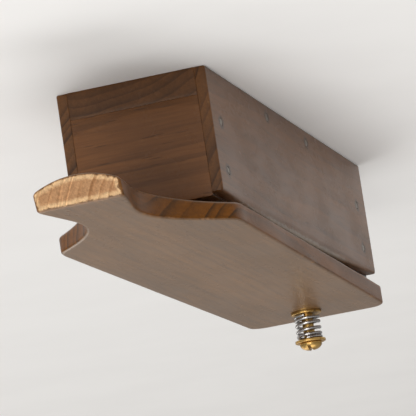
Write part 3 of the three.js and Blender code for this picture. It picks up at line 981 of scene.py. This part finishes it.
def metal(name, tint, tarnish, rough, spot_share, streak_scale):
    """Worn metal: fine scratches, and tarnish in spots."""
    g = Graph(name)
    spots = g.noise(g.place, 0.55, 5, 0.65)
    scratch = g.noise(g.place, streak_scale, 3, 0.7)
    dirt = g.between(spots, spot_share, spot_share + 0.18)
    base_colour = g.shade(g.mix(dirt, tint, tarnish), scratch, 0.2, 0.8, 0.85, 1.12)
    clean_roughness = g.between(scratch, 0.3, 0.7, rough, rough + 0.14)
    roughness = g.math("ADD", clean_roughness, g.math("MULTIPLY", dirt, 0.22))
    return g.finish(
        Base_Color=base_colour, Metallic=g.between(dirt, 0, 1, 1.0, 0.75), Roughness=roughness,
        Normal=g.bump(scratch, 0.012, g.bump(spots, 0.02)),
    )


def nylon_material():
    g = Graph("nylon")
    cloud = g.noise(g.place, 0.4, 3)
    grime = g.between(g.noise(g.place, 1.3, 4, 0.7), 0.5, 0.75)
    tint = g.mix(g.math("MULTIPLY", grime, 0.5), colour(222, 214, 192), colour(140, 118, 92))
    return g.finish(
        Base_Color=tint, Roughness=g.between(cloud, 0.3, 0.7, 0.42, 0.58), Subsurface_Weight=0.25,
        Subsurface_Radius=(1.0, 0.8, 0.5), Subsurface_Scale=0.6 * MM, Normal=g.bump(cloud, 0.03),
    )


brass = metal("brass", colour(198, 162, 98), colour(104, 76, 44), 0.27, 0.5, (6.0, 6.0, 0.8))
spring_steel = metal("spring_steel", colour(186, 186, 188), colour(96, 84, 74), 0.22, 0.62, (1.5, 1.5, 9.0))
brad_steel = metal("brad_steel", colour(150, 144, 136), colour(70, 56, 44), 0.36, 0.5, (4.0, 4.0, 4.0))
nylon = nylon_material()


# ---------------------------------------------------------------- hinge hardware

WASHER_HOLE_RADIUS = 2.5
WASHER_SEGMENTS = 72


def washer(node, corners, soft, material, body):
    """A flat washer, its upper edges rolled by soft and its lower ones sharper, as pressed."""
    low, high = corners
    radius, hole = high[0], WASHER_HOLE_RADIUS
    bottom, top = low[2], high[2]
    crisp = soft * 0.4
    profile = np.concatenate([
        arc((radius - soft, top - soft), soft, 90, 0, 5),
        arc((radius - crisp, bottom + crisp), crisp, 0, -90, 3),
        arc((hole + crisp, bottom + crisp), crisp, -90, -180, 3),
        arc((hole + soft, top - soft), soft, 180, 90, 5),
    ])
    profile = np.concatenate([profile, profile[:1]])
    verts, faces = turned(profile, WASHER_SEGMENTS)
    make(node + "_disc", verts, faces, material, body, [node])


washer("pivot_washer", (pivot_low, pivot_high), 0.3, nylon, "pivot")
washer("lower_spring_washer", (seat_low, seat_high), 0.25, brass, "spring_seat")
washer("upper_spring_washer", (cap_low, cap_high), 0.25, brass, "spring_cap")

SPRING_WIRE_RADIUS = 0.55
SPRING_TURNS = 5
SPRING_CLOSED_ENDS = 0.4
SPRING_STEPS, WIRE_SIDES = 160, 16
coil_radius = spring_high[0] - SPRING_WIRE_RADIUS


def spring_half(name, start, end):
    """The coils between two shares of the spring's length, the outer end pressing on a washer."""
    steps, sides = SPRING_STEPS, WIRE_SIDES
    t = np.linspace(start, end, steps + 1)
    angle = 2 * math.pi * SPRING_TURNS * t
    climb = t - SPRING_CLOSED_ENDS * np.sin(2 * math.pi * t) / (2 * math.pi)
    bottom, length = spring_low[2], spring_high[2] - spring_low[2]
    height = bottom + SPRING_WIRE_RADIUS + (length - 2 * SPRING_WIRE_RADIUS) * climb
    centre = np.stack([coil_radius * np.cos(angle), coil_radius * np.sin(angle), height], 1)
    tangent = np.gradient(centre, axis=0)
    tangent /= np.linalg.norm(tangent, axis=1)[:, None]
    outward = np.stack([np.cos(angle), np.sin(angle), 0 * angle], 1)
    upward = np.cross(tangent, outward)
    verts, faces = [], []
    turn = (2 * math.pi * np.arange(sides) / sides)[:, None]
    for k in range(steps + 1):
        verts.append(centre[k] + SPRING_WIRE_RADIUS * (np.cos(turn) * outward[k] + np.sin(turn) * upward[k]))
    for k in range(steps):
        for s in range(sides):
            n = (s + 1) % sides
            faces.append((k * sides + s, k * sides + n, (k + 1) * sides + n, (k + 1) * sides + s))
    faces.append(tuple(range(sides)))
    faces.append(tuple(steps * sides + s for s in range(sides)))
    verts = np.concatenate(verts)
    piece = make(name, verts, faces, spring_steel, nodes=["tension_spring"])
    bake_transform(piece)


spring_half("tension_spring_lower_coils", 0.0, 0.5)
spring_half("tension_spring_upper_coils", 0.5, 1.0)

SCREW_RADIUS = 2.1
SCREW_HEAD_GAP = 0.05
SCREW_SLOT_WIDTH = 1.2
SCREW_SLOT_DEPTH = 1.5
THREAD_PITCH = 1.4
THREAD_DEPTH = 0.5
SCREW_POINT_LENGTH = 6.0
SCREW_HEAD_EDGE = 0.35
SCREW_HEAD_STEPS = 18
SCREW_SEGMENTS = 56
SCREW_PROFILE_STEP = 0.14
SCREW_SMOOTH_DEGREES = 40


def hinge_screw():
    """A round-headed brass wood screw: plain under the head, threaded in the block, slotted."""
    head_bottom = cap_high[2] + SCREW_HEAD_GAP
    head_height = screw_high[2] - head_bottom
    tip = screw_low[2]
    thread_top = hinge_high[2] - 2.0
    head_radius = screw_high[0]
    shank = np.arange(tip + 0.05, thread_top + 2, SCREW_PROFILE_STEP)
    profile = [(SCREW_RADIUS * min(1, 0.08 + (z - tip) / SCREW_POINT_LENGTH), z) for z in shank]
    profile += [(SCREW_RADIUS, z) for z in np.linspace(shank[-1] + 1, head_bottom - 0.3, 8)]
    profile += [(SCREW_RADIUS + 0.12, head_bottom), (head_radius - 0.2, head_bottom)]
    for angle in math.pi / 2 * np.arange(SCREW_HEAD_STEPS + 1) / SCREW_HEAD_STEPS:
        radius = max(head_radius * math.cos(angle) ** 0.92, 0.02)
        rise = SCREW_HEAD_EDGE + (head_height - SCREW_HEAD_EDGE) * math.sin(angle)
        profile.append((radius, head_bottom + rise))

    def threaded(radius, height, angle):
        wave = np.abs(((height / THREAD_PITCH - angle / (2 * math.pi)) % 1) * 2 - 1)
        groove = THREAD_DEPTH * (1 - np.clip(wave * 1.5 - 0.35, 0, 1))
        fade = 1 - smoothstep(height, thread_top - 2, thread_top)
        return np.maximum(radius - groove * fade * min(1, radius / SCREW_RADIUS), 0.05)

    verts, faces = turned(profile, SCREW_SEGMENTS, threaded)
    screw = make("hinge_screw_body", verts, faces, brass)
    reach = head_radius + 1
    top, floor = screw_high[2], screw_high[2] - SCREW_SLOT_DEPTH
    width = SCREW_SLOT_WIDTH / 2
    section = [(-width, floor), (width, floor), (width, top - 0.15), (width + 0.5, top + 0.6),
               (-width - 0.5, top + 0.6), (-width, top - 0.15)]
    slot_verts = [(x, y, z) for x in (-reach, reach) for y, z in section]
    count = len(section)
    slot_faces = [tuple(range(count)), tuple(range(2 * count - 1, count - 1, -1))]
    slot_faces += [(k, (k + 1) % count, count + (k + 1) % count, count + k) for k in range(count)]
    cutter = make("screw_slot", slot_verts, slot_faces, None)
    cut(screw, [cutter], SCREW_SMOOTH_DEGREES)
    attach(screw, "screw")
    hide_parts("hinge_screw")


hinge_screw()


def brad(node, seed):
    """A flat-headed brad, its head flush in the side and hammered a little out of true."""
    low, high = box_mm(node)
    side = 1 if low[1] > 0 else -1
    rng = np.random.default_rng(seed)
    dish = rng.uniform(0.02, 0.08)
    profile = [
        (0.02, -BRAD_LENGTH + 0.1), (0.3, -BRAD_LENGTH + 1.0), (BRAD_RADIUS, -BRAD_LENGTH + 2.0),
        (BRAD_RADIUS, -0.6), (BRAD_RADIUS + 0.15, -0.42), (BRAD_HEAD_RADIUS - 0.05, -0.4),
        (BRAD_HEAD_RADIUS, -0.33), (BRAD_HEAD_RADIUS, -0.16), (BRAD_HEAD_RADIUS - 0.1, -0.06),
        (BRAD_HEAD_RADIUS - 0.35, -0.04), (0.5, -0.04 - dish), (0.02, -0.05 - dish),
    ]

    def hammered(radius, height, angle):
        return radius * (1 + 0.03 * np.cos(3 * angle + seed) + 0.02 * np.cos(5 * angle + 2 * seed))

    verts, faces = turned(profile, BRAD_SEGMENTS, hammered)
    piece = make(node + "_nail", verts, faces, brad_steel)
    piece.data.transform(brad_matrix(low, high, side))
    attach(piece, "box")
    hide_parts(node)


for number, node in enumerate(brad_nodes):
    brad(node, number)


# ---------------------------------------------------------------- stage, light and camera

FLOOR_REACH = 6


def floor():
    reach = FLOOR_REACH
    verts = [(-reach, -reach, 0), (reach, -reach, 0), (reach, reach, 0), (-reach, reach, 0)]
    mesh = bpy.data.meshes.new("floor")
    mesh.from_pydata(verts, [], [(0, 1, 2, 3)])
    plane = bpy.data.objects.new("floor", mesh)
    bpy.context.scene.collection.objects.link(plane)
    g = Graph("pale_floor")
    grain = g.noise(g.place, 0.02, 2)
    tint = g.shade((0.79, 0.80, 0.82), grain, 0.3, 0.7, 0.99, 1.01)
    mesh.materials.append(g.finish(Base_Color=tint, Roughness=0.85))
    plane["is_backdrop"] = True


def softbox(name, place, target, size, watts, tint):
    """A square area light at place, aimed at target."""
    data = bpy.data.lights.new(name, "AREA")
    data.shape = "SQUARE"
    data.size = size
    data.energy = watts
    data.color = tint
    lamp = bpy.data.objects.new(name, data)
    lamp.location = place
    lamp.rotation_mode = "QUATERNION"
    lamp.rotation_quaternion = (Vector(target) - Vector(place)).to_track_quat("-Z", "Y")
    lamp.visible_camera = False
    bpy.context.scene.collection.objects.link(lamp)


def world_light(horizon, zenith):
    """A pale dome, dimmer towards the horizon."""
    world = bpy.data.worlds.new("studio")
    bpy.context.scene.world = world
    world.use_nodes = True
    tree = world.node_tree
    direction = tree.nodes.new("ShaderNodeTexCoord")
    height = tree.nodes.new("ShaderNodeSeparateXYZ")
    level = tree.nodes.new("ShaderNodeMapRange")
    background = tree.nodes["Background"]
    tree.links.new(direction.outputs["Generated"], height.inputs[0])
    tree.links.new(height.outputs[2], level.inputs["Value"])
    tree.links.new(level.outputs[0], background.inputs["Strength"])
    level.inputs["From Min"].default_value, level.inputs["From Max"].default_value = 0.0, 0.8
    level.inputs["To Min"].default_value, level.inputs["To Max"].default_value = horizon, zenith
    background.inputs["Color"].default_value = (1.0, 0.96, 0.9, 1)


CAMERA_AZIMUTH = 75.9
CAMERA_ELEVATION = 10.7
CAMERA_ROLL = 171.3
CAMERA_DISTANCE = 1.3
SENSOR_WIDTH = 36
FRAME_FILL = 0.84


def camera():
    """The camera's direction and roll are the photograph's. It frames the whole object."""
    a, e, roll = (math.radians(v) for v in (CAMERA_AZIMUTH, CAMERA_ELEVATION, CAMERA_ROLL))
    back = Vector((math.sin(a) * math.cos(e), -math.cos(a) * math.cos(e), math.sin(e)))
    level_right = Vector((0, 0, 1)).cross(back).normalized()
    level_up = back.cross(level_right)
    right = level_right * math.cos(roll) + level_up * math.sin(roll)
    up = level_up * math.cos(roll) - level_right * math.sin(roll)
    aim = (cad_bounds[0] + cad_bounds[1]) / 2
    corners = [p.matrix_world @ v.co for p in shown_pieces() for v in p.data.vertices]
    for _ in range(3):
        depth = [CAMERA_DISTANCE - (c - aim).dot(back) for c in corners]
        xs = [(c - aim).dot(right) / d for c, d in zip(corners, depth)]
        ys = [(c - aim).dot(up) / d for c, d in zip(corners, depth)]
        aim = aim + right * (min(xs) + max(xs)) / 2 * CAMERA_DISTANCE
        aim = aim + up * (min(ys) + max(ys)) / 2 * CAMERA_DISTANCE
    spread = max(max(xs) - min(xs), max(ys) - min(ys))
    data = bpy.data.cameras.new("camera")
    data.sensor_width = SENSOR_WIDTH
    data.lens = SENSOR_WIDTH * FRAME_FILL / spread
    data.clip_start, data.clip_end = 0.05, 30
    eye = bpy.data.objects.new("camera", data)
    place = aim + back * CAMERA_DISTANCE
    eye.matrix_world = Matrix((
        (right.x, up.x, back.x, place.x), (right.y, up.y, back.y, place.y),
        (right.z, up.z, back.z, place.z), (0, 0, 0, 1),
    ))
    bpy.context.scene.collection.objects.link(eye)
    bpy.context.scene.camera = eye


floor()
world_light(horizon=0.2, zenith=0.5)
centre = (cad_bounds[0] + cad_bounds[1]) / 2
softbox("key", (1.25, 0.1, 0.5), centre, size=0.7, watts=9, tint=(1.0, 0.97, 0.92))
softbox("top", (0.1, 0.1, 1.4), centre, size=1.2, watts=8, tint=(1.0, 0.97, 0.93))
softbox("back", (-0.9, 0.9, 0.9), centre, size=0.9, watts=4.0, tint=(1.0, 0.96, 0.9))
# The main view mirrors this one in the lid's top.
softbox("sheen", (-1.3, 0.36, 0.33), centre, size=0.9, watts=0.17, tint=(1.0, 0.98, 0.95))
camera()
bpy.context.scene.view_settings.view_transform = "Standard"
